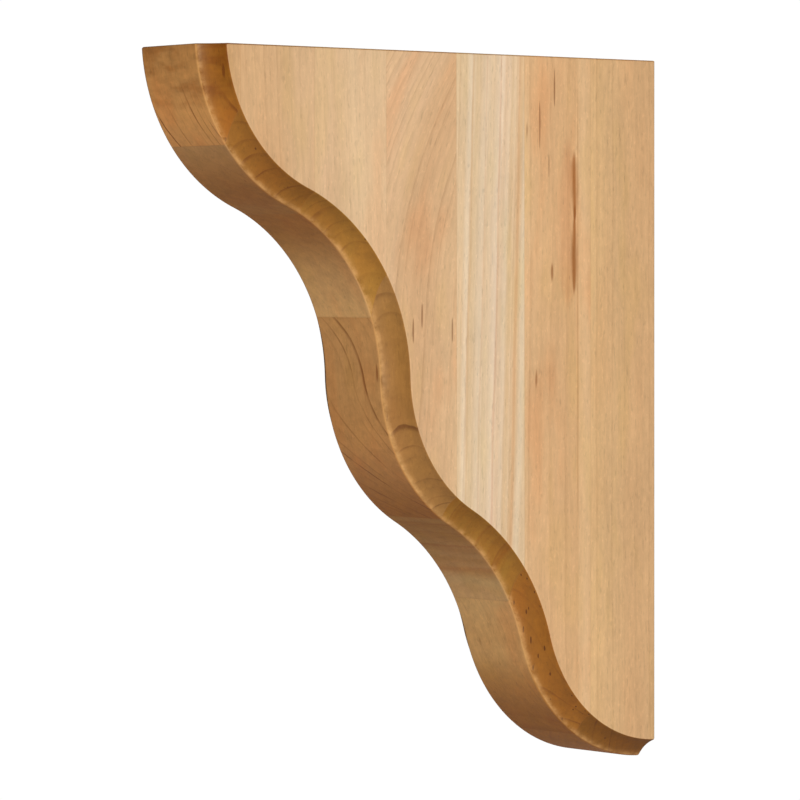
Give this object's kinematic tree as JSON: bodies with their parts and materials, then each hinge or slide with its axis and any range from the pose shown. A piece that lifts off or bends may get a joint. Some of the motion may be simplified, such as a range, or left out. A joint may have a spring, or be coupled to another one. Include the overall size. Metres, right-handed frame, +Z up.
{
  "type": "wooden corbel bracket",
  "caption": "Solid wood corbel bracket with a flat back and top and a waved, coved front edge, glued up from upright staves.",
  "frame": {"origin": "middle of the flat back that lies against the wall", "axes": "+Z up, +Y into the wall and square to the flat back, X along the wall; the bracket reaches out towards -Y and is the same on both sides of X = 0"},
  "size_m": [0.0474, 0.203, 0.254],
  "materials": {
    "tan_wood": "clear satin lacquer over sanded hardwood",
    "pale_wood": "clear satin lacquer over sanded hardwood",
    "honey_wood": "clear satin lacquer over sanded hardwood"
  },
  "bodies": {
    "root": {"stave_1": "tan_wood", "stave_2": "tan_wood", "stave_3": "pale_wood", "stave_4": "honey_wood", "stave_5": "honey_wood", "stave_6": "honey_wood", "stave_7": "honey_wood"}
  },
  "joints": []
}
